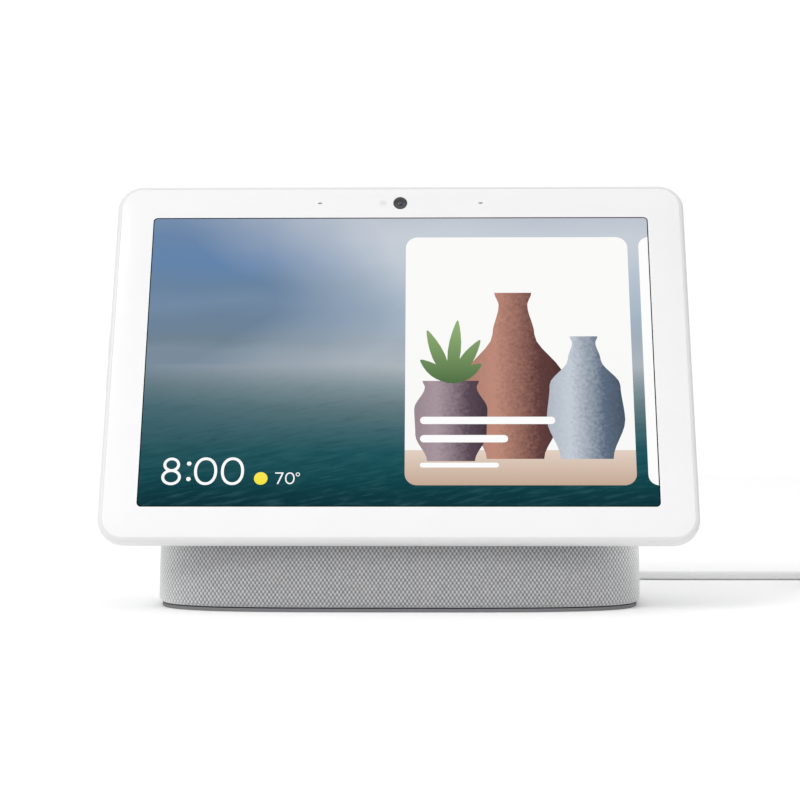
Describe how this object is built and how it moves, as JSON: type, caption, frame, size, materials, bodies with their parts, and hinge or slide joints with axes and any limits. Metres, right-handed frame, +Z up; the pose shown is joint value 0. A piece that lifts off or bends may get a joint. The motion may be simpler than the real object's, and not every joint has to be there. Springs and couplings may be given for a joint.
{
  "type": "smart display",
  "caption": "Smart display: white-bordered touch screen tilted back on a fabric-covered speaker base, with camera, mute switch, volume rocker and white power lead with wall adapter.",
  "frame": {"origin": "on the resting surface, at the middle of the object's bounding box without its power lead", "axes": "+X to the right as seen from the front, +Y from the front to the back, +Z up; the screen faces -Y and upwards"},
  "size_m": [0.3937, 0.1788, 0.1817],
  "materials": {
    "white_glass": "clear cover glass with white print on its back",
    "black_foam": "matte foam tape",
    "screen": "lit screen",
    "tray_steel": "satin",
    "dark_plastic": "fine texture",
    "white_plastic": "soft satin",
    "spreader_aluminium": "plain rolled",
    "circuit_board": "solder mask",
    "can_steel": "tinned",
    "screw_steel": "zinc plated",
    "antenna_brass": "thin foil",
    "camera_glass": "dark clear window",
    "lens_glass": "coated",
    "mic_brass": "plated lid",
    "sensor_plastic": "clear epoxy",
    "bracket_steel": "plain",
    "grey_fabric": "two-tone woven",
    "shell_plastic": "moulded",
    "plate_plastic": "moulded",
    "foot_rubber": "matte silicone",
    "basket_steel": "satin black",
    "magnet_iron": "sintered",
    "cone_paper": "pressed fibre",
    "surround_rubber": "butyl",
    "dome_fabric": "coated silk",
    "jack_plastic": "moulded",
    "cover_plastic": "fine texture",
    "cord_plastic": "soft satin vinyl",
    "nickel": "nickel plated",
    "tie_plastic": "soft strap",
    "adapter_plastic": "polished"
  },
  "bodies": {
    "display": {"front_glass": "white_glass", "glass_tape": "black_foam", "lcd_panel": "screen", "backlight_tray": "tray_steel", "mid_frame": "dark_plastic", "rear_housing": "white_plastic", "heat_spreader": "spreader_aluminium", "main_board": "circuit_board", "shield_cans": "can_steel", "board_screws": "screw_steel", "wifi_antennas": "antenna_brass", "camera_window": "camera_glass", "camera_barrel": "dark_plastic", "camera_lens": "lens_glass", "camera_board": "circuit_board", "mic_boards": "circuit_board", "microphones": "mic_brass", "light_sensor": "sensor_plastic", "mute_switch": "dark_plastic", "rocker_pin": "screw_steel", "rocker_bracket": "tray_steel", "volume_board": "circuit_board", "volume_switches": "dark_plastic", "neck_bracket": "bracket_steel", "neck_screws": "screw_steel", "fabric_sleeve": "grey_fabric", "base_shell": "shell_plastic", "base_chassis": "dark_plastic", "base_plate": "plate_plastic", "base_screws": "screw_steel", "rubber_foot": "foot_rubber", "speaker_baffle": "dark_plastic", "woofer_basket": "basket_steel", "woofer_magnet": "magnet_iron", "woofer_surround": "surround_rubber", "woofer_screws": "screw_steel", "tweeter_left_frame": "dark_plastic", "tweeter_left_magnet": "magnet_iron", "tweeter_right_frame": "dark_plastic", "tweeter_right_magnet": "magnet_iron", "io_board": "circuit_board", "power_jack": "jack_plastic", "service_port": "can_steel", "port_cover": "cover_plastic", "power_plug": "cord_plastic", "plug_barrel": "nickel", "cord_run": "cord_plastic", "cord_coil": "cord_plastic", "cord_tail": "cord_plastic", "cord_tie": "tie_plastic", "wall_adapter": "adapter_plastic", "adapter_blades": "nickel"},
    "mute_slider": {"mute_knob": "white_plastic"},
    "rocker": {"volume_rocker": "white_plastic"},
    "woofer_moving": {"woofer_cone": "cone_paper"},
    "left_dome": {"tweeter_left_dome": "dome_fabric"},
    "right_dome": {"tweeter_right_dome": "dome_fabric"}
  },
  "joints": [
    {"name": "mute_slide", "type": "slide", "parent": "display", "child": "mute_slider", "axis": [1, 0, 0], "range_m": [0, 0.004]},
    {"name": "volume_rock", "type": "hinge", "parent": "display", "child": "rocker", "pos_m": [-0.12005, -0.0092, 0.10262], "axis": [0, 0.9026, -0.4305], "range_deg": [-2.5, 2.5], "stiffness_Nm_per_rad": 0.02},
    {"name": "woofer_stroke", "type": "slide", "parent": "display", "child": "woofer_moving", "axis": [0, 1, 0], "range_m": [-0.003, 0.003], "stiffness_N_per_m": 1000, "deforming": ["woofer_surround"]},
    {"name": "left_dome_stroke", "type": "slide", "parent": "display", "child": "left_dome", "axis": [0, -1, 0], "range_m": [-0.0003, 0.0003], "stiffness_N_per_m": 500},
    {"name": "right_dome_stroke", "type": "slide", "parent": "display", "child": "right_dome", "axis": [0, -1, 0], "range_m": [-0.0003, 0.0003], "stiffness_N_per_m": 500}
  ]
}
